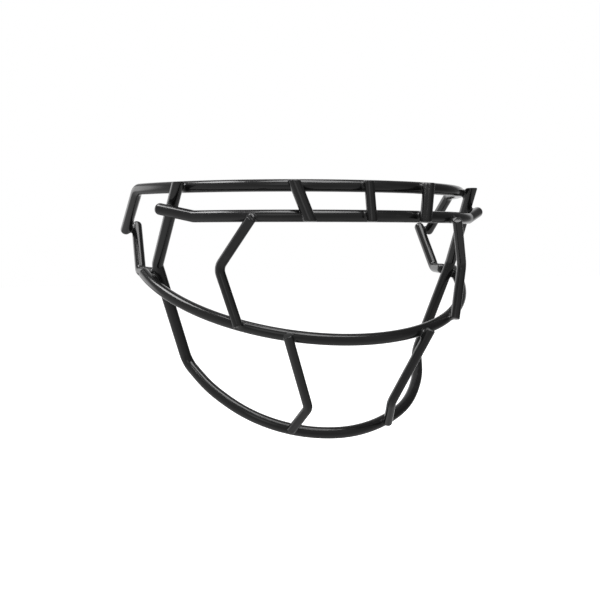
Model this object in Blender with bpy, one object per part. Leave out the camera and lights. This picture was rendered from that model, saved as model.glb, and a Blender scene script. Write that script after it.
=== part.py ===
"""American football face guard (cage): bent round wires, lapped and welded at every crossing.

The wires are drawn in millimetres in a drawing frame: X to the wearer's left, -Y to the front, +Z up,
with the origin on the axis of the brow arc, at the height of the upper brow bar.
The finished guard is moved so that the centre of its bounding box is the world origin.
"""

import math

import bmesh
import bpy
import numpy as np
from mathutils import Matrix, Vector

MM = 0.001

# Coated wire diameters.
BAR_WIRE = 7.55
LOOP_WIRE = 7.75
EYE_WIRE = 6.3
BROW_WIRE = 6.2
CHIN_WIRE = 6.1

# Upper brow bar: an arc round the forehead that ends in a leg bent down and back at each temple.
BROW_RADIUS = 121.5
BROW_FLATTEN = 7.87
BROW_EASE = 3.43
BROW_RISE = 0.66
BROW_CORNER_ANGLE = math.radians(84.7)
BROW_LEG_END = (123.15, 29.7, -27.4)
BROW_BEND = 13.0

# Lower brow bar: a level arc in front of the face, with a straight end cranked back at each side.
LOWER_RADIUS = 125.25
LOWER_HEIGHT = -18.2
LOWER_KINK_ANGLE = math.radians(50.35)
LOWER_END = (116.3, -60.5, -12.8)
LOWER_BEND = 5.2

# Main bar: an arc over the mouth that climbs to the temple hooks at both sides.
MAIN_RADIUS = 119.1
MAIN_SPREAD = 0.42
MAIN_HEIGHT = -94.0
MAIN_CLIMB = 22.15
MAIN_EASE = 1.2
MAIN_END_ANGLE = math.radians(80.0)

# Chin loop: outside the upper brow bar, back to a side bend, down to a jaw bend, then round the chin.
LOOP_TOP = (104.15, -71.15, 3.3)
LOOP_SIDE = (110.7, -31.3, -49.6)
LOOP_JAW = (88.5, -20.0, -118.0)
LOOP_CHIN = ((76.1, -44.6, -134.1), (56.15, -66.1, -148.1), (29.85, -78.1, -157.2), (0.0, -84.6, -159.9))
LOOP_SIDE_BEND = 6.0
LOOP_JAW_BEND = 12.0

# Straight and once-bent wires, right-hand side of the drawing (+X); the other side mirrors them.
HOOK = ((114.85, 30.4, -20.5), (116.2, 4.6, -55.2), (110.0, -20.9, -55.3))
HOOK_BEND = 5.5
EYE_GUARD = ((69.1, -112.9, -19.7), (84.3, -93.2, -49.7), (74.55, -102.15, -85.2))
EYE_BEND = 7.0
CHIN_STRUT = ((48.2, -118.0, -89.8), (28.9, -101.35, -138.35), (34.45, -84.15, -155.95))
CHIN_BEND = 6.0
SIDE_STRUT = ((44.8, -119.75, 2.95), (37.8, -128.95, -21.7))
CENTRE_STRUT = ((0.0, -128.1, 2.95), (0.0, -133.3, -21.7))

# Wire ends: each ring is its distance back from the tip, in wire diameters, and its share of the full radius.
# A level end has no ring: the wire runs on past its end and is sawn off level there.
ROUND_END = ((0.5, 1.0), (0.24, 0.9), (0.0, 0.62))
CUT_END = ((0.12, 1.0), (0.0, 0.84))
LEVEL_END = ()
LEVEL_OVERRUN = 5.0

# Distances that repeat: clearance between neighbours, sampling and weld collars.
CLEARANCE = 0.3
WIRE_SIDES = 12
ARC_STEP = math.radians(5.0)
BEND_STEP = math.radians(15.0)
PROBE_STEP = 0.5
WELD_RING_RADIUS = 2.9
WELD_BEAD_RADIUS = 1.15
WELD_RING_STEPS = 12
WELD_BEAD_STEPS = 6
WELD_REACH = 6.5
MERGE_DISTANCE = 0.001
SHARP_ANGLE = math.radians(38.0)

MIRROR_X = np.array((-1.0, 1.0, 1.0))

COATING_COLOUR = (0.018, 0.018, 0.019, 1.0)
SOLID_VIEW_COLOUR = (0.05, 0.05, 0.052, 1.0)
WIRE_ROUGHNESS = 0.22
WELD_ROUGHNESS = 0.3


def clear_scene():
    for item in list(bpy.data.objects):
        bpy.data.objects.remove(item, do_unlink=True)


def new_collection(name):
    collection = bpy.data.collections.new(name)
    bpy.context.scene.collection.children.link(collection)
    return collection


def coating_material(name, roughness):
    """Hard black dip coating over steel."""
    material = bpy.data.materials.new(name)
    material.use_nodes = True
    shader = material.node_tree.nodes["Principled BSDF"]
    shader.inputs["Base Color"].default_value = COATING_COLOUR
    shader.inputs["Roughness"].default_value = roughness
    shader.inputs["Metallic"].default_value = 0.0
    material.diffuse_color = SOLID_VIEW_COLOUR
    return material


# Paths: arrays of points in millimetres.


def unit(vector):
    return vector / np.linalg.norm(vector)


def polar_arc(half_angle, radius_at, height_at):
    """A symmetric arc about the drawing's Z axis; angle 0 is straight ahead, at -Y."""
    steps = 2 * math.ceil(half_angle / ARC_STEP) - 1
    angles = np.linspace(-half_angle, half_angle, steps + 1)
    return np.array([
        (radius_at(a) * math.sin(a), -radius_at(a) * math.cos(a), height_at(a)) for a in angles
    ])


def spline_through(points, steps=4):
    """A Catmull-Rom curve through the points, with its first and last tangents along its end chords."""
    points = np.asarray(points, float)
    padded = np.vstack([2 * points[0] - points[1], points, 2 * points[-1] - points[-2]])
    path = []
    for before, start, end, after in zip(padded, padded[1:], padded[2:], padded[3:]):
        for t in np.linspace(0.0, 1.0, steps, endpoint=False):
            path.append(0.5 * (
                2 * start
                + (end - before) * t
                + (2 * before - 5 * start + 4 * end - after) * t ** 2
                + (3 * start - before - 3 * end + after) * t ** 3
            ))
    path.append(points[-1])
    return np.array(path)


def cut_back(run, length):
    """The run without the last stretch of the given length."""
    run = list(run)
    while len(run) > 2 and np.linalg.norm(run[-1] - run[-2]) <= length:
        length -= np.linalg.norm(run[-1] - run[-2])
        run.pop()
    run[-1] = run[-1] + unit(run[-2] - run[-1]) * length
    return np.array(run)


def bend_between(start, corner, end):
    """A round bend that starts at start, ends at end and is tangent to both legs of the corner."""
    turn = math.acos(np.clip(unit(corner - start) @ unit(end - corner), -1.0, 1.0))
    weight = math.cos(turn / 2)
    steps = max(2, math.ceil(turn / BEND_STEP))
    bend = []
    for t in np.linspace(0.0, 1.0, steps + 1)[1:-1]:
        top = (1 - t) ** 2 * start + 2 * weight * t * (1 - t) * corner + t ** 2 * end
        bend.append(top / ((1 - t) ** 2 + 2 * weight * t * (1 - t) + t ** 2))
    return np.array(bend)


def join_runs(runs, radii):
    """One path through runs that share their end points, with a bend of the given radius at each join."""
    path = np.asarray(runs[0], float)
    for run, radius in zip(runs[1:], radii):
        run = np.asarray(run, float)
        corner = run[0]
        turn = math.acos(unit(corner - path[-2]) @ unit(run[1] - corner))
        tangent = radius * math.tan(turn / 2)
        path = cut_back(path, tangent)
        run = cut_back(run[::-1], tangent)[::-1]
        path = np.vstack([path, bend_between(path[-1], corner, run[0]), run])
    return path


def bent_wire(corners, radii):
    """Straight runs between the corners, with a bend of the given radius at each inner corner."""
    corners = np.asarray(corners, float)
    runs = [corners[i:i + 2] for i in range(len(corners) - 1)]
    return join_runs(runs, radii)


def mirrored(path):
    return np.asarray(path, float) * MIRROR_X


def upper_brow_path():
    arc = polar_arc(
        BROW_CORNER_ANGLE,
        lambda a: BROW_RADIUS - BROW_FLATTEN * a ** 2 + BROW_EASE * a ** 4,
        lambda a: BROW_RISE * a ** 2,
    )
    leg = np.array((arc[-1], BROW_LEG_END))
    return join_runs([mirrored(leg)[::-1], arc, leg], (BROW_BEND, BROW_BEND))


def lower_brow_path():
    arc = polar_arc(LOWER_KINK_ANGLE, lambda a: LOWER_RADIUS, lambda a: LOWER_HEIGHT)
    end = np.array((arc[-1], LOWER_END))
    return join_runs([mirrored(end)[::-1], arc, end], (LOWER_BEND, LOWER_BEND))


def main_bar_path():
    return polar_arc(
        MAIN_END_ANGLE,
        lambda a: MAIN_RADIUS + MAIN_SPREAD * a ** 2,
        lambda a: MAIN_HEIGHT + MAIN_CLIMB * a ** 2 - MAIN_EASE * a ** 4,
    )


def chin_loop_path():
    side = np.array((LOOP_TOP, LOOP_SIDE))
    jaw = np.array((LOOP_SIDE, LOOP_JAW))
    half = np.array((LOOP_JAW,) + LOOP_CHIN)
    chin = spline_through(np.vstack([half, mirrored(half)[::-1][1:]]))
    runs = [side, jaw, chin, mirrored(jaw)[::-1], mirrored(side)[::-1]]
    return join_runs(runs, (LOOP_SIDE_BEND, LOOP_JAW_BEND, LOOP_JAW_BEND, LOOP_SIDE_BEND))


def wire_table():
    """Every wire: name, path, diameter and end shape as pairs (setback in diameters, share of radius)."""
    wires = [
        ("upper_brow_bar", upper_brow_path(), BAR_WIRE, ROUND_END),
        ("lower_brow_bar", lower_brow_path(), BAR_WIRE, ROUND_END),
        ("main_bar", main_bar_path(), BAR_WIRE, CUT_END),
        ("chin_loop", chin_loop_path(), LOOP_WIRE, LEVEL_END),
        ("centre_brow_strut", np.array(CENTRE_STRUT), BROW_WIRE, LEVEL_END),
    ]
    sided = [
        ("temple_hook", bent_wire(HOOK, (HOOK_BEND,)), BAR_WIRE, ROUND_END),
        ("eye_guard", bent_wire(EYE_GUARD, (EYE_BEND,)), EYE_WIRE, CUT_END),
        ("brow_strut", np.array(SIDE_STRUT), BAR_WIRE, LEVEL_END),
        ("chin_strut", bent_wire(CHIN_STRUT, (CHIN_BEND,)), CHIN_WIRE, CUT_END),
    ]
    for name, path, diameter, end in sided:
        wires.append((f"left_{name}", path, diameter, end))
        wires.append((f"right_{name}", mirrored(path), diameter, end))
    return wires


# Every weld joins two wires; sides says on which side of the middle plane (0 is on it).
WELDS = (
    ("upper_brow_bar", "brow_strut", (1, -1)),
    ("upper_brow_bar", "centre_brow_strut", (0,)),
    ("upper_brow_bar", "chin_loop", (1, -1)),
    ("upper_brow_bar", "temple_hook", (1, -1)),
    ("lower_brow_bar", "brow_strut", (1, -1)),
    ("lower_brow_bar", "centre_brow_strut", (0,)),
    ("lower_brow_bar", "chin_loop", (1, -1)),
    ("lower_brow_bar", "eye_guard", (1, -1)),
    ("main_bar", "eye_guard", (1, -1)),
    ("main_bar", "chin_loop", (1, -1)),
    ("main_bar", "temple_hook", (1, -1)),
    ("main_bar", "chin_strut", (1, -1)),
    ("chin_loop", "chin_strut", (1, -1)),
)


# Solids.


def add_end_rings(path, end, diameter):
    """The path with the rings of its shaped ends added, and the share of full radius at every point."""
    points = [np.asarray(p, float) for p in path]
    shares = [1.0] * len(points)
    if not end:
        return points, shares
    for at_start in (True, False):
        if not at_start:
            points.reverse()
            shares.reverse()
        tip, inward = points[0], unit(points[1] - points[0])
        rings = [tip + inward * back * diameter for back, _ in end]
        points[:1] = rings[::-1]
        shares[:1] = [share for _, share in reversed(end)]
        if not at_start:
            points.reverse()
            shares.reverse()
    return points, shares


def wire_curve(name, path, diameter, end, collection):
    """A round wire: a poly curve with a bevel, filled caps and shaped ends.

    The tilt of half a facet turns flats, not edges, to face up, down, in and out.
    """
    curve = bpy.data.curves.new(name, "CURVE")
    curve.dimensions = "3D"
    curve.twist_mode = "Z_UP"
    curve.bevel_depth = diameter / 2 * MM
    curve.bevel_resolution = (WIRE_SIDES - 4) // 2
    curve.use_fill_caps = True
    points, shares = add_end_rings(path, end, diameter)
    spline = curve.splines.new("POLY")
    spline.points.add(len(points) - 1)
    for spot, point, share in zip(spline.points, points, shares):
        spot.co = (*(point * MM), 1.0)
        spot.radius = share
        spot.tilt = math.pi / WIRE_SIDES
    wire = bpy.data.objects.new(name, curve)
    collection.objects.link(wire)
    return wire


def run_on(path):
    """The path with both ends moved outward along the wire, so that a level cut can take them off again."""
    path = np.array(path, float)
    path[0] = path[0] + unit(path[0] - path[1]) * LEVEL_OVERRUN
    path[-1] = path[-1] + unit(path[-1] - path[-2]) * LEVEL_OVERRUN
    return path


def level_cuts(path):
    """The heights at which a wire is sawn off level, with 1 to take off what is above, or -1 for below."""
    ends = ((path[0], path[1]), (path[-1], path[-2]))
    return sorted({(float(tip[2]), math.copysign(1.0, tip[2] - inner[2])) for tip, inner in ends})


def saw_level(body, height, outward):
    """Take off what lies beyond a height and close the cut."""
    bmesh.ops.bisect_plane(
        body,
        geom=body.verts[:] + body.edges[:] + body.faces[:],
        plane_co=(0.0, 0.0, height),
        plane_no=(0.0, 0.0, outward),
        clear_outer=True,
    )
    bmesh.ops.holes_fill(body, edges=[edge for edge in body.edges if edge.is_boundary])


def made_solid(wire, cuts, collection):
    """The curve object as a closed mesh object with its caps welded on and its level cuts made."""
    name = wire.name
    depsgraph = bpy.context.evaluated_depsgraph_get()
    mesh = bpy.data.meshes.new_from_object(wire.evaluated_get(depsgraph))
    body = bmesh.new()
    body.from_mesh(mesh)
    bmesh.ops.remove_doubles(body, verts=body.verts, dist=MERGE_DISTANCE * MM)
    for height, outward in cuts:
        saw_level(body, height * MM, outward)
    bmesh.ops.recalc_face_normals(body, faces=body.faces)
    body.to_mesh(mesh)
    body.free()
    mesh.shade_smooth()
    mesh.set_sharp_from_angle(angle=SHARP_ANGLE)
    curve = wire.data
    solid = bpy.data.objects.new(name + "_solid", mesh)
    solid.matrix_world = wire.matrix_world
    bpy.data.objects.remove(wire, do_unlink=True)
    bpy.data.curves.remove(curve)
    solid.name = name
    collection.objects.link(solid)
    return solid


def wire_solid(name, path, diameter, end, collection):
    """A round wire along the path as a closed solid."""
    cuts = level_cuts(path) if end == LEVEL_END else ()
    drawn = run_on(path) if cuts else path
    return made_solid(wire_curve(name, drawn, diameter, end, collection), cuts, collection)


def build_wire(name, path, diameter, end, collection, material):
    solid = wire_solid(name, path, diameter, end, collection)
    solid.data.materials.clear()
    solid.data.materials.append(material)
    return solid


def build_cutter(name, path, diameter, end, collection):
    """The space that a weld collar leaves free round a wire."""
    cutter = wire_solid(f"{name}_clearance", path, diameter + 2 * CLEARANCE, end, collection)
    cutter.hide_render = True
    cutter.display_type = "WIRE"
    return cutter


def probes(path):
    """Points along the path, about PROBE_STEP apart."""
    spots = []
    for start, end in zip(path, path[1:]):
        count = max(1, round(np.linalg.norm(end - start) / PROBE_STEP))
        spots.extend(start + (end - start) * t for t in np.linspace(0, 1, count, endpoint=False))
    spots.append(path[-1])
    return np.array(spots)


def nearest_points(path_a, path_b, side):
    """Where two wire axes pass closest, on one side of the middle plane."""
    spots_a, spots_b = probes(path_a), probes(path_b)
    if side:
        spots_a = spots_a[spots_a[:, 0] * side > 0]
        spots_b = spots_b[spots_b[:, 0] * side > 0]
    gaps = np.linalg.norm(spots_a[:, None] - spots_b[None], axis=2)
    i, j = np.unravel_index(gaps.argmin(), gaps.shape)
    return spots_a[i], spots_b[j]


def side_name(part, side, names):
    """The node name of a part on one side; a part with no side keeps its own name."""
    if part in names:
        return part
    return ("left_" if side > 0 else "right_") + part


def build_weld(bar, other, side, wires, cutters, collection, material):
    """A ring of weld metal squeezed out round the spot where two lapped wires meet."""
    other = side_name(other, side, wires)
    weld_name = f"weld_{bar}_{other}"
    if side and not other.startswith(("left_", "right_")):
        weld_name = f"weld_{bar}_{side_name(other, side, ())}"
    path_a, diameter_a = wires[bar]
    path_b, diameter_b = wires[other]
    on_a, on_b = nearest_points(path_a, path_b, side)
    across = Vector(unit(on_b - on_a))
    gap = np.linalg.norm(on_b - on_a) - (diameter_a + diameter_b) / 2
    spot = Vector(on_a) + across * (diameter_a / 2 + gap / 2)
    bpy.ops.mesh.primitive_torus_add(
        major_segments=WELD_RING_STEPS,
        minor_segments=WELD_BEAD_STEPS,
        major_radius=WELD_RING_RADIUS * MM,
        minor_radius=WELD_BEAD_RADIUS * MM,
    )
    weld = bpy.context.object
    weld.name = weld_name
    weld.data.name = weld_name
    weld.matrix_world = Matrix.Translation(spot * MM) @ across.to_track_quat("Z", "Y").to_matrix().to_4x4()
    for holder in list(weld.users_collection):
        holder.objects.unlink(weld)
    collection.objects.link(weld)
    for name, cutter in cutters.items():
        path, diameter = wires[name]
        if np.linalg.norm(probes(path) - np.array(spot), axis=1).min() < diameter / 2 + WELD_REACH:
            cut = weld.modifiers.new(name, "BOOLEAN")
            cut.operation = "DIFFERENCE"
            cut.solver = "EXACT"
            cut.object = cutter
    weld.data.shade_smooth()
    weld.data.materials.append(material)
    return weld


def centre_on_origin(parts, everything):
    """Hang all objects on one empty, placed so that the parts' bounding box is centred on the origin."""
    corners = np.array([item.matrix_world @ Vector(c) for item in parts for c in item.bound_box])
    middle = (corners.min(axis=0) + corners.max(axis=0)) / 2
    root = bpy.data.objects.new("face_guard_frame", None)
    bpy.context.scene.collection.objects.link(root)
    for item in everything:
        item.parent = root
    root.location = -middle


def build():
    clear_scene()
    parts = new_collection("face_guard")
    guides = new_collection("cutters")
    coating = coating_material("black_coating", WIRE_ROUGHNESS)
    weld_coating = coating_material("black_coating_on_weld", WELD_ROUGHNESS)
    table = wire_table()
    wires = {name: (path, diameter) for name, path, diameter, _ in table}
    solids = [build_wire(*row, parts, coating) for row in table]
    cutters = {row[0]: build_cutter(*row, guides) for row in table}
    welds = [
        build_weld(bar, other, side, wires, cutters, parts, weld_coating)
        for bar, other, sides in WELDS
        for side in sides
    ]
    bpy.context.view_layer.update()
    centre_on_origin(solids, solids + welds + list(cutters.values()))


build()
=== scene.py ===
"""Looks of the American football face guard: smooth coated wires, coated welds, studio light and camera.

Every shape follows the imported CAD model: the centre line and the diameter of each wire are read from its
faceted CAD solid, and each weld sits where the CAD weld is. Lengths are in metres unless a name ends in _MM.
"""

import math

import bmesh
import bpy
import numpy as np
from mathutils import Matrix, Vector

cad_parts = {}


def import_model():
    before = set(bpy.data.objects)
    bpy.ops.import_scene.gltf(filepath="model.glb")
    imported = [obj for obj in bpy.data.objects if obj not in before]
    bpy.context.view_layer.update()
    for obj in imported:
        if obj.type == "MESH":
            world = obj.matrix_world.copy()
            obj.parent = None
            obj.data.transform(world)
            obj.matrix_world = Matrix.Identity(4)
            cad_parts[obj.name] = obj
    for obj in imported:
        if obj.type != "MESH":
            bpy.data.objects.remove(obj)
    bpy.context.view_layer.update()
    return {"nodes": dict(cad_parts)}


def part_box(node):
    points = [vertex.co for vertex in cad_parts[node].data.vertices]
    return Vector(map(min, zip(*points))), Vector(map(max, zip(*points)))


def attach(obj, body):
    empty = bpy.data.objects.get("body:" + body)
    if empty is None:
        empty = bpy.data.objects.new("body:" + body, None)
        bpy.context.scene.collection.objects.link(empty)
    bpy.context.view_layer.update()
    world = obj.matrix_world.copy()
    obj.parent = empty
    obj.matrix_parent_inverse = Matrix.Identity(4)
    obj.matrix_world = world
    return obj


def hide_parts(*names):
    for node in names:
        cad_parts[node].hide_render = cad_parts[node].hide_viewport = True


MM = 0.001

# Reading the CAD wires.
MERGE_DISTANCE_MM = 0.002
FLAT_ANGLE = math.radians(0.05)
CAP_CORNERS = 8
CAP_COMPACTNESS = 0.85

# Wire surfaces.
WIRE_SIDES = 32
RING_SPACING_MM = 1.4
DENSE_STEP_MM = 0.2
NEAR_SKIP = 4
TIP_STEPS = 5
STRAIGHT_RATIO = 2.2
END_STEPS = 7
CUT_EDGE = 0.2
ROUND_EDGE = 0.82
ROUND_ENDED = ("upper_brow_bar", "lower_brow_bar", "temple_hook")
LEAN_RUN_MM = 9.0
SHORTEST_STEP_MM = 1e-6
SHORTEST_ACROSS = 0.1

# Weld fillets.
FILLET_MM = 3.0
FILLET_REACH_MM = 8.5
FILLET_ROOT_MM = 0.6
FILLET_SINK_MM = 0.02
FILLET_TRIM = 0.96
THINNEST_FILLET = 0.02
GRID_STEP_MM = 0.28
PROJECT_ROUNDS = 4
PROBE_MM = 0.04
SHALLOWEST_SLOPE = 0.25

# Coating: each noise is its scale, detail and roughness; a span is a lowest and a highest value.
FULL_SPAN = (0.0, 1.0)
CLOUDS = (70.0, 3.0, 0.5)
CLOUD_SPAN = (0.35, 0.65)
SCUFFS = (120.0, 3.0, 0.6)
SCUFF_SPAN = (0.62, 0.74)
SCUFF_DULLNESS = 0.04
GLOSS_NOISE = (90.0, 2.0, 0.5)
GLOSS_SPAN = (0.3, 0.7)
DARK_COATING = (0.0095, 0.0095, 0.0098, 1.0)
CLOUDY_COATING = (0.0125, 0.0125, 0.0128, 1.0)
SCUFFED_COATING = (0.020, 0.020, 0.0205, 1.0)
COATING_IOR = 1.5
WIRE_GLOSS = (0.14, 0.18)
WELD_GLOSS = (0.16, 0.22)

# Studio: level panels, each with its name, the direction of its middle and its size, both per unit of height,
# its turn in degrees and its radiance.
CEILING = 3.0
PANEL_POWER = 4.0
CEILING_PANELS = (
    ("wide_panel", (0.0, -0.28), (0.8, 0.65), -51.0, 4.0),
    ("bright_panel", (-0.63, 0.27), (0.54, 0.45), 67.0, 7.0),
)
# Soft patches of the surroundings: direction, cosines where a patch starts and is full, added radiance.
STUDIO_BASE = 0.36
STUDIO_PATCHES = (
    ((0.0, 0.0, -1.0), 0.2, 0.9, 0.2),
    ((-0.8, 0.2, -0.6), 0.4, 0.95, 0.2),
    ((0.92, 0.1, 0.38), 0.5, 0.95, -0.25),
    ((0.33, 0.94, 0.0), 0.75, 0.9, 0.6),
    ((-0.6, 0.8, 0.08), 0.9, 0.98, 1.6),
    ((-0.5, -0.8, 0.36), 0.955, 0.985, 0.6),
)
WHITE = (1.0, 1.0, 1.0, 1.0)

# Floor.
FLOOR_SIZE = 12.0
FLOOR_DROP = 0.25
FLOOR_COLOUR = (0.93, 0.93, 0.93, 1.0)
FLOOR_ROUGHNESS = 0.9
FLOOR_GLOW = 0.7

# Camera: turn about Z and downward tilt in degrees, lens and sensor width in millimetres, and place.
CAMERA_AZIMUTH = -19.467
CAMERA_ELEVATION = 4.328
CAMERA_LENS = 51.35
CAMERA_SENSOR = 36.0
CAMERA_PLACE = (-0.21146, -0.54999, 0.04954)


def units(vectors):
    return vectors / np.linalg.norm(vectors, axis=-1, keepdims=True)


# Centre lines from the CAD solids.


def welded_copy(node):
    """The node's mesh as a bmesh in millimetres, with doubled vertices merged."""
    body = bmesh.new()
    body.from_mesh(node.data)
    bmesh.ops.scale(body, vec=(1 / MM,) * 3, verts=body.verts)
    bmesh.ops.remove_doubles(body, verts=body.verts, dist=MERGE_DISTANCE_MM)
    body.verts.ensure_lookup_table()
    return body


def end_rings(body):
    """The two sets of vertices round the flat ends of a faceted wire."""
    flat = body.copy()
    for index, vert in enumerate(flat.verts):
        vert.index = index
    bmesh.ops.dissolve_limit(flat, angle_limit=FLAT_ANGLE, verts=[], edges=flat.edges)
    rings = []
    for face in flat.faces:
        compactness = 4 * math.pi * face.calc_area() / face.calc_perimeter() ** 2
        if len(face.verts) > CAP_CORNERS and compactness > CAP_COMPACTNESS:
            rings.append({v.index for v in face.verts})
    flat.free()
    return rings


def cap_normal(corners, outward):
    """The unit normal of a flat end through its corners, on the side of the outward vector."""
    normal = np.linalg.svd(corners - corners.mean(axis=0))[2][2]
    return normal * np.sign(normal @ outward)


def wire_line(node):
    """A CAD wire's centre line, its radius and the normals of its two ends; lengths in millimetres."""
    body = welded_copy(node)
    layer = [body.verts[i] for i in sorted(end_rings(body)[0])]
    seen = set(layer)
    rings = []
    while layer:
        rings.append(np.array([v.co for v in layer]))
        onward = {e.other_vert(v) for v in layer for e in v.link_edges} - seen
        seen |= onward
        layer = sorted(onward, key=lambda v: v.index)
    body.free()
    centres = np.array([ring.mean(axis=0) for ring in rings])
    headings = units(np.diff(centres, axis=0))
    reaches = []
    for ring, centre, heading in zip(rings, centres, np.vstack([headings, headings[-1:]])):
        spokes = ring - centre
        reaches.append(np.linalg.norm(spokes - np.outer(spokes @ heading, heading), axis=1).mean())
    caps = (cap_normal(rings[0], -headings[0]), cap_normal(rings[-1], headings[-1]))
    return centres, max(reaches), caps


# Smooth wires.


def smooth_line(centres):
    """A dense smooth curve through the centres: long runs stay straight, short ones follow their circle."""
    steps = np.diff(centres, axis=0)
    lengths = np.linalg.norm(steps, axis=1)
    heading = units(steps)
    tangents = [heading[0]]
    for before, after, l_before, l_after in zip(heading, heading[1:], lengths, lengths[1:]):
        if l_after > STRAIGHT_RATIO * l_before:
            tangents.append(after)
        elif l_before > STRAIGHT_RATIO * l_after:
            tangents.append(before)
        else:
            tangents.append(units(before * l_after + after * l_before))
    tangents.append(heading[-1])
    line = []
    for i, length in enumerate(lengths):
        for t in np.linspace(0.0, 1.0, max(2, round(length / DENSE_STEP_MM)), endpoint=False):
            line.append(
                (2 * t ** 3 - 3 * t ** 2 + 1) * centres[i]
                + (t ** 3 - 2 * t ** 2 + t) * length * tangents[i]
                + (3 * t ** 2 - 2 * t ** 3) * centres[i + 1]
                + (t ** 3 - t ** 2) * length * tangents[i + 1]
            )
    line.append(centres[-1])
    return np.array(line)


def end_edge(name, radius):
    """How far back the rounding of this wire's ends reaches, in millimetres."""
    rounded = name.endswith(ROUND_ENDED)
    return radius * (ROUND_EDGE if rounded else CUT_EDGE)


def rings_along(line, radius, edge, caps):
    """Ring centres, radii and leans along the line: rounded edges at both ends, even spacing between them.

    A ring's lean is the normal of the end it belongs to, scaled from 1 at that end to 0 further in.
    """
    travel = np.concatenate([[0.0], np.cumsum(np.linalg.norm(np.diff(line, axis=0), axis=1))])
    turn = np.linspace(0.0, math.pi / 2, END_STEPS)
    setback = edge * (1 - np.cos(turn))
    share = radius - edge + edge * np.sin(turn)
    count = math.ceil((travel[-1] - 2 * edge) / RING_SPACING_MM)
    middle = np.linspace(edge, travel[-1] - edge, count + 1)[1:-1]
    stations = np.concatenate([setback, middle, travel[-1] - setback[::-1]])
    radii = np.concatenate([share, np.full(len(middle), radius), share[::-1]])
    centres = np.column_stack([np.interp(stations, travel, line[:, axis]) for axis in range(3)])
    at_start, at_end = (np.clip(1 - s / LEAN_RUN_MM, 0.0, 1.0) for s in (stations, travel[-1] - stations))
    leans = at_start[:, None] * caps[0] + at_end[:, None] * caps[1]
    return centres, radii, leans


def sideways(heading):
    """A unit vector across each heading, carried along the wire without twist."""
    first = np.cross(heading[0], (0.0, 0.0, 1.0))
    if np.linalg.norm(first) < SHORTEST_ACROSS:
        first = np.cross(heading[0], (0.0, 1.0, 0.0))
    across = [units(first)]
    for direction in heading[1:]:
        across.append(units(across[-1] - direction * (across[-1] @ direction)))
    return np.array(across)


def smooth_mesh(name, points, faces):
    mesh = bpy.data.meshes.new(name)
    mesh.from_pydata(points.tolist(), [], faces)
    mesh.shade_smooth()
    return mesh


def tube_mesh(name, centres, radii, leans):
    """A closed round tube through the rings, with a vertex in the middle of each end.

    A leaning ring is slid along the wire so that, fully leaning, it lies in the plane of its end.
    """
    steps = np.diff(centres, axis=0)
    short = np.linalg.norm(steps, axis=1) < SHORTEST_STEP_MM
    steps[short] = np.roll(steps, -1, axis=0)[short]
    heading = units(steps)
    heading = units(np.vstack([heading[:1], heading[:-1] + heading[1:], heading[-1:]]))
    across = sideways(heading)
    upward = np.cross(heading, across)
    angles = np.linspace(0.0, 2 * math.pi, WIRE_SIDES, endpoint=False)
    spokes = np.cos(angles)[None, :, None] * across[:, None] + np.sin(angles)[None, :, None] * upward[:, None]
    weight = np.linalg.norm(leans, axis=1)
    facing = (leans * heading).sum(axis=1)
    steepness = np.where(weight > 0, weight / np.where(weight > 0, facing, 1.0), 0.0)
    slide = -(spokes * leans[:, None]).sum(axis=2) * steepness[:, None]
    rings = centres[:, None] + radii[:, None, None] * (spokes + slide[..., None] * heading[:, None])
    points = np.vstack([rings.reshape(-1, 3), centres[:1], centres[-1:]]) * MM
    faces = []
    for ring in range(len(centres) - 1):
        for side in range(WIRE_SIDES):
            onward = (side + 1) % WIRE_SIDES
            low, high = ring * WIRE_SIDES, (ring + 1) * WIRE_SIDES
            faces.append((low + side, low + onward, high + onward, high + side))
    start_tip, end_tip = len(points) - 2, len(points) - 1
    last = (len(centres) - 1) * WIRE_SIDES
    for side in range(WIRE_SIDES):
        onward = (side + 1) % WIRE_SIDES
        faces.append((start_tip, onward, side))
        faces.append((end_tip, last + side, last + onward))
    return smooth_mesh(name, points, faces)


def new_piece(name, mesh, material, node):
    """A piece that stands for one CAD node and rides on the only body."""
    piece = bpy.data.objects.new(name, mesh)
    bpy.context.scene.collection.objects.link(piece)
    mesh.materials.append(material)
    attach(piece, "root")
    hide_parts(node)
    return piece


# Weld fillets: the smooth union of two wires, kept only where it stands between them.


class Wire:
    """A wire's smooth line, radius, end normals and end edge, with a signed distance to its surface."""

    def __init__(self, name, node):
        centres, self.radius, self.caps = wire_line(node)
        self.name = name
        self.line = smooth_line(centres)
        self.edge = end_edge(name, self.radius)

    def near(self, spot, reach):
        """The stretch of the line near the spot, run on straight past an end there, and such ends' planes."""
        close = np.flatnonzero(np.linalg.norm(self.line - spot, axis=1) < reach)
        first, last = close.min(), close.max()
        stretch = self.line[first:last + 1:NEAR_SKIP]
        tips = []
        if first == 0:
            outward = units(self.line[0] - self.line[TIP_STEPS])
            tips.append((self.line[0], self.caps[0]))
            stretch = np.vstack([self.line[0] + outward * reach, stretch])
        if last == len(self.line) - 1:
            outward = units(self.line[-1] - self.line[-1 - TIP_STEPS])
            tips.append((self.line[-1], self.caps[1]))
            stretch = np.vstack([stretch, self.line[-1] + outward * reach])
        return stretch, tips

    def distance(self, points, spot, reach):
        """Signed distance from each point to the wire's surface, valid near the spot."""
        stretch, tips = self.near(spot, reach)
        best = np.full(len(points), np.inf)
        for start, end in zip(stretch, stretch[1:]):
            run = end - start
            t = np.clip((points - start) @ run / (run @ run), 0.0, 1.0)
            best = np.minimum(best, np.linalg.norm(points - start - t[:, None] * run, axis=1))
        side = best - self.radius
        for tip, outward in tips:
            beyond = (points - tip) @ outward
            a, b = side + self.edge, beyond + self.edge
            side = (
                np.minimum(np.maximum(a, b), 0.0)
                + np.hypot(np.maximum(a, 0.0), np.maximum(b, 0.0))
                - self.edge
            )
        return side


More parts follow.
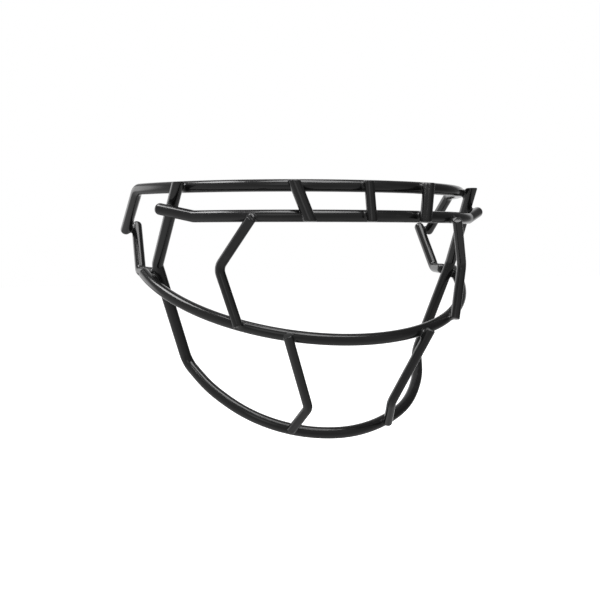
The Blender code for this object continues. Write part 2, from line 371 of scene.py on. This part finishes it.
def fillet_field(points, spot, pair):
    """Negative inside the weld metal: under the two wires' blended surface and outside both their cores."""
    a, b = (wire.distance(points, spot, 2 * FILLET_REACH_MM) for wire in pair)
    away = np.linalg.norm(points - spot, axis=1) / FILLET_REACH_MM
    width = FILLET_MM * np.clip(1.0 - away ** 2, THINNEST_FILLET, 1.0)
    blend = np.clip(1.0 - np.abs(a - b) / width, 0.0, None)
    nearest = np.minimum(a, b)
    outside_blend = nearest - blend ** 2 * width / 4 + FILLET_SINK_MM
    inside_cores = -(nearest + FILLET_ROOT_MM)
    past_rim = np.abs(a - b) - FILLET_TRIM * width
    return np.max([outside_blend, inside_cores, past_rim], axis=0)


def surface_net(field, low, step):
    """Points and quads of the surface where a sampled field changes sign, one point in each crossed cell."""
    inside = field < 0
    cells = tuple(n - 1 for n in field.shape)
    total = np.zeros(cells + (3,))
    count = np.zeros(cells)
    for axis in range(3):
        for offset in np.ndindex(*(1 if k == axis else 2 for k in range(3))):
            start = tuple(slice(o, o + n) for o, n in zip(offset, cells))
            shifted = [o + (k == axis) for k, o in enumerate(offset)]
            end = tuple(slice(o, o + n) for o, n in zip(shifted, cells))
            crossed = inside[start] != inside[end]
            share = np.where(crossed, field[start] / np.where(crossed, field[start] - field[end], 1.0), 0.0)
            for k in range(3):
                total[..., k] += crossed * (share if k == axis else offset[k])
            count += crossed
    crossed_cells = np.argwhere(count > 0)
    number = np.full(cells, -1)
    number[count > 0] = np.arange(len(crossed_cells))
    points = low + step * (crossed_cells + total[count > 0] / count[count > 0][:, None])
    quads = []
    for axis in range(3):
        u, v = (axis + 1) % 3, (axis + 2) % 3
        flips = inside ^ np.roll(inside, -1, axis=axis)
        for spot in np.argwhere(flips):
            if spot[axis] >= cells[axis] or not (0 < spot[u] < cells[u] and 0 < spot[v] < cells[v]):
                continue
            back_u, back_v = np.eye(3, dtype=int)[u], np.eye(3, dtype=int)[v]
            quad = [number[tuple(spot - c)] for c in (back_u + back_v, back_v, 0 * back_u, back_u)]
            quads.append(quad if inside[tuple(spot)] else quad[::-1])
    return points, quads


def settle(points, field):
    """Move the points onto the surface where the field is zero."""
    for _ in range(PROJECT_ROUNDS):
        slope = np.column_stack([
            field(points + probe) - field(points - probe) for probe in np.eye(3) * PROBE_MM
        ]) / (2 * PROBE_MM)
        steep = np.maximum((slope ** 2).sum(axis=1), SHALLOWEST_SLOPE)
        move = (field(points) / steep)[:, None] * slope
        points = points - np.clip(move, -GRID_STEP_MM / 2, GRID_STEP_MM / 2)
    return points


def fillet_mesh(name, spot, pair):
    """The weld metal and coating that fill the crevice between two lapped wires."""
    count = math.ceil(FILLET_REACH_MM / GRID_STEP_MM)
    ticks = np.arange(-count, count + 1) * GRID_STEP_MM
    grid = np.stack(np.meshgrid(ticks, ticks, ticks, indexing="ij"), axis=-1)
    field = np.ones(grid.shape[:3])
    reached = np.linalg.norm(grid, axis=-1) < FILLET_REACH_MM
    field[reached] = fillet_field(grid[reached] + spot, spot, pair)
    points, quads = surface_net(field, spot + ticks[0], GRID_STEP_MM)
    points = settle(points, lambda p: fillet_field(p, spot, pair))
    return smooth_mesh(name, points * MM, quads)


def mirrored_mesh(name, twin):
    """The twin's mesh on the other side of the middle plane."""
    points = np.array([vertex.co for vertex in twin.vertices]) * (-1.0, 1.0, 1.0)
    return smooth_mesh(name, points, [list(face.vertices)[::-1] for face in twin.polygons])


def weld_spot(node, pair):
    """Midway between the two wires' surfaces, where their lines pass closest near the CAD weld."""
    low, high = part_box(node)
    middle = np.array((low + high) / 2) / MM
    near = [w.line[np.linalg.norm(w.line - middle, axis=1) < FILLET_REACH_MM] for w in pair]
    gaps = np.linalg.norm(near[0][:, None] - near[1][None], axis=2)
    i, j = np.unravel_index(gaps.argmin(), gaps.shape)
    on_a, on_b = near[0][i], near[1][j]
    across = units(on_b - on_a)
    return (on_a + across * pair[0].radius + on_b - across * pair[1].radius) / 2


# Materials.


def coating_material(name, gloss):
    """Black dip coating: a hard glossy skin, slightly cloudy, with faint duller scuffs.

    The gloss is the span of the skin's roughness, before scuffs.
    """
    material = bpy.data.materials.new(name)
    material.use_nodes = True
    nodes, links = material.node_tree.nodes, material.node_tree.links
    shader = nodes["Principled BSDF"]
    place = nodes.new("ShaderNodeTexCoord").outputs["Object"]

    def noise(scale, detail, roughness):
        node = nodes.new("ShaderNodeTexNoise")
        node.inputs["Scale"].default_value = scale
        node.inputs["Detail"].default_value = detail
        node.inputs["Roughness"].default_value = roughness
        links.new(place, node.inputs["Vector"])
        return node.outputs["Fac"]

    def spread(value, source, target):
        node = nodes.new("ShaderNodeMapRange")
        for key, number in zip(("From Min", "From Max", "To Min", "To Max"), source + target):
            node.inputs[key].default_value = number
        links.new(value, node.inputs["Value"])
        return node.outputs["Result"]

    def mixed(share, colour_a, colour_b):
        node = nodes.new("ShaderNodeMix")
        node.data_type = "RGBA"
        links.new(share, node.inputs["Factor"])
        for key, colour in (("A", colour_a), ("B", colour_b)):
            socket = [i for i in node.inputs if i.name == key and i.type == "RGBA"][0]
            if isinstance(colour, tuple):
                socket.default_value = colour
            else:
                links.new(colour, socket)
        return [o for o in node.outputs if o.type == "RGBA"][0]

    cloudy = spread(noise(*CLOUDS), CLOUD_SPAN, FULL_SPAN)
    scuffs = spread(noise(*SCUFFS), SCUFF_SPAN, FULL_SPAN)
    colour = mixed(scuffs, mixed(cloudy, DARK_COATING, CLOUDY_COATING), SCUFFED_COATING)
    links.new(colour, shader.inputs["Base Color"])
    rough = nodes.new("ShaderNodeMath")
    rough.operation = "ADD"
    links.new(spread(noise(*GLOSS_NOISE), GLOSS_SPAN, gloss), rough.inputs[0])
    links.new(spread(scuffs, FULL_SPAN, (0.0, SCUFF_DULLNESS)), rough.inputs[1])
    links.new(rough.outputs["Value"], shader.inputs["Roughness"])
    shader.inputs["IOR"].default_value = COATING_IOR
    return material


# Stage.


def ceiling_panel(name, toward, size, turn, radiance):
    """A level soft box on the ceiling, seen in reflections but not by the camera."""
    lamp = bpy.data.lights.new(name, "AREA")
    lamp.shape = "RECTANGLE"
    lamp.size, lamp.size_y = (CEILING * side for side in size)
    lamp.energy = radiance * lamp.size * lamp.size_y * PANEL_POWER
    light = bpy.data.objects.new(name, lamp)
    light.location = (CEILING * toward[0], CEILING * toward[1], CEILING)
    light.rotation_euler = (0.0, 0.0, math.radians(turn))
    light.visible_camera = False
    bpy.context.scene.collection.objects.link(light)


def studio_world():
    """White to the camera; to the wires, a dim studio with a dark right side and bright patches."""
    world = bpy.data.worlds.new("studio")
    bpy.context.scene.world = world
    world.use_nodes = True
    nodes, links = world.node_tree.nodes, world.node_tree.links
    direction = nodes.new("ShaderNodeTexCoord").outputs["Generated"]
    total = None
    for toward, start, full, amount in STUDIO_PATCHES:
        dot = nodes.new("ShaderNodeVectorMath")
        dot.operation = "DOT_PRODUCT"
        links.new(direction, dot.inputs[0])
        dot.inputs[1].default_value = Vector(toward).normalized()
        patch = nodes.new("ShaderNodeMapRange")
        patch.interpolation_type = "SMOOTHSTEP"
        for key, number in (("From Min", start), ("From Max", full), ("To Min", 0.0), ("To Max", amount)):
            patch.inputs[key].default_value = number
        links.new(dot.outputs["Value"], patch.inputs["Value"])
        add = nodes.new("ShaderNodeMath")
        add.operation = "ADD"
        links.new(patch.outputs["Result"], add.inputs[0])
        if total is None:
            add.inputs[1].default_value = STUDIO_BASE
        else:
            links.new(total, add.inputs[1])
        total = add.outputs["Value"]
    path = nodes.new("ShaderNodeLightPath")
    seen = nodes.new("ShaderNodeMix")
    seen.data_type = "FLOAT"
    links.new(path.outputs["Is Camera Ray"], seen.inputs["Factor"])
    floats = [i for i in seen.inputs if i.type == "VALUE" and i.name in "AB"]
    links.new(total, floats[0])
    floats[1].default_value = 1.0
    links.new([o for o in seen.outputs if o.type == "VALUE"][0], nodes["Background"].inputs["Strength"])
    nodes["Background"].inputs["Color"].default_value = WHITE


def white_floor(height):
    """A pale floor that only the camera sees, so that it doesn't light the wires."""
    bpy.ops.mesh.primitive_plane_add(size=FLOOR_SIZE, location=(0.0, 0.0, height))
    floor = bpy.context.object
    floor.name = "floor"
    paint = bpy.data.materials.new("floor_paint")
    paint.use_nodes = True
    shader = paint.node_tree.nodes["Principled BSDF"]
    shader.inputs["Base Color"].default_value = FLOOR_COLOUR
    shader.inputs["Roughness"].default_value = FLOOR_ROUGHNESS
    shader.inputs["Emission Color"].default_value = WHITE
    shader.inputs["Emission Strength"].default_value = FLOOR_GLOW
    floor.data.materials.append(paint)
    floor.visible_glossy = False
    floor.visible_diffuse = False


def studio_camera():
    data = bpy.data.cameras.new("camera")
    data.sensor_width = CAMERA_SENSOR
    data.lens = CAMERA_LENS
    camera = bpy.data.objects.new("camera", data)
    azimuth, elevation = math.radians(CAMERA_AZIMUTH), math.radians(CAMERA_ELEVATION)
    camera.location = CAMERA_PLACE
    camera.rotation_euler = (math.pi / 2 - elevation, 0.0, azimuth)
    bpy.context.scene.collection.objects.link(camera)
    bpy.context.scene.camera = camera


def build_wires(nodes):
    """A smooth wire for every CAD wire; returns the Wire of each by its node's name."""
    coating = coating_material("coating", WIRE_GLOSS)
    wires = {name: Wire(name, node) for name, node in nodes.items() if not name.startswith("weld_")}
    for name, wire in wires.items():
        mesh = tube_mesh(name, *rings_along(wire.line, wire.radius, wire.edge, wire.caps))
        new_piece(name + "_wire", mesh, coating, name)
    return wires


def build_fillets(nodes, wires):
    """A fillet for every CAD weld; the welds of the right side mirror their left twins."""
    weld_coating = coating_material("weld_coating", WELD_GLOSS)
    fillets = {}
    for name in sorted(n for n in nodes if n.startswith("weld_")):
        pair = [w for w in wires.values() if name.startswith("weld_" + w.name) or name.endswith(w.name)]
        twin = fillets.get(name.replace("_right_", "_left_"))
        fillets[name] = mirrored_mesh(name, twin) if twin else fillet_mesh(name, weld_spot(name, pair), pair)
        new_piece(name + "_fillet", fillets[name], weld_coating, name)


def build():
    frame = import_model()
    nodes = frame["nodes"]
    build_fillets(nodes, build_wires(nodes))
    white_floor(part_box("chin_loop")[0].z - FLOOR_DROP)
    studio_world()
    for panel in CEILING_PANELS:
        ceiling_panel(*panel)
    studio_camera()
    bpy.context.scene.view_settings.view_transform = "Standard"


build()
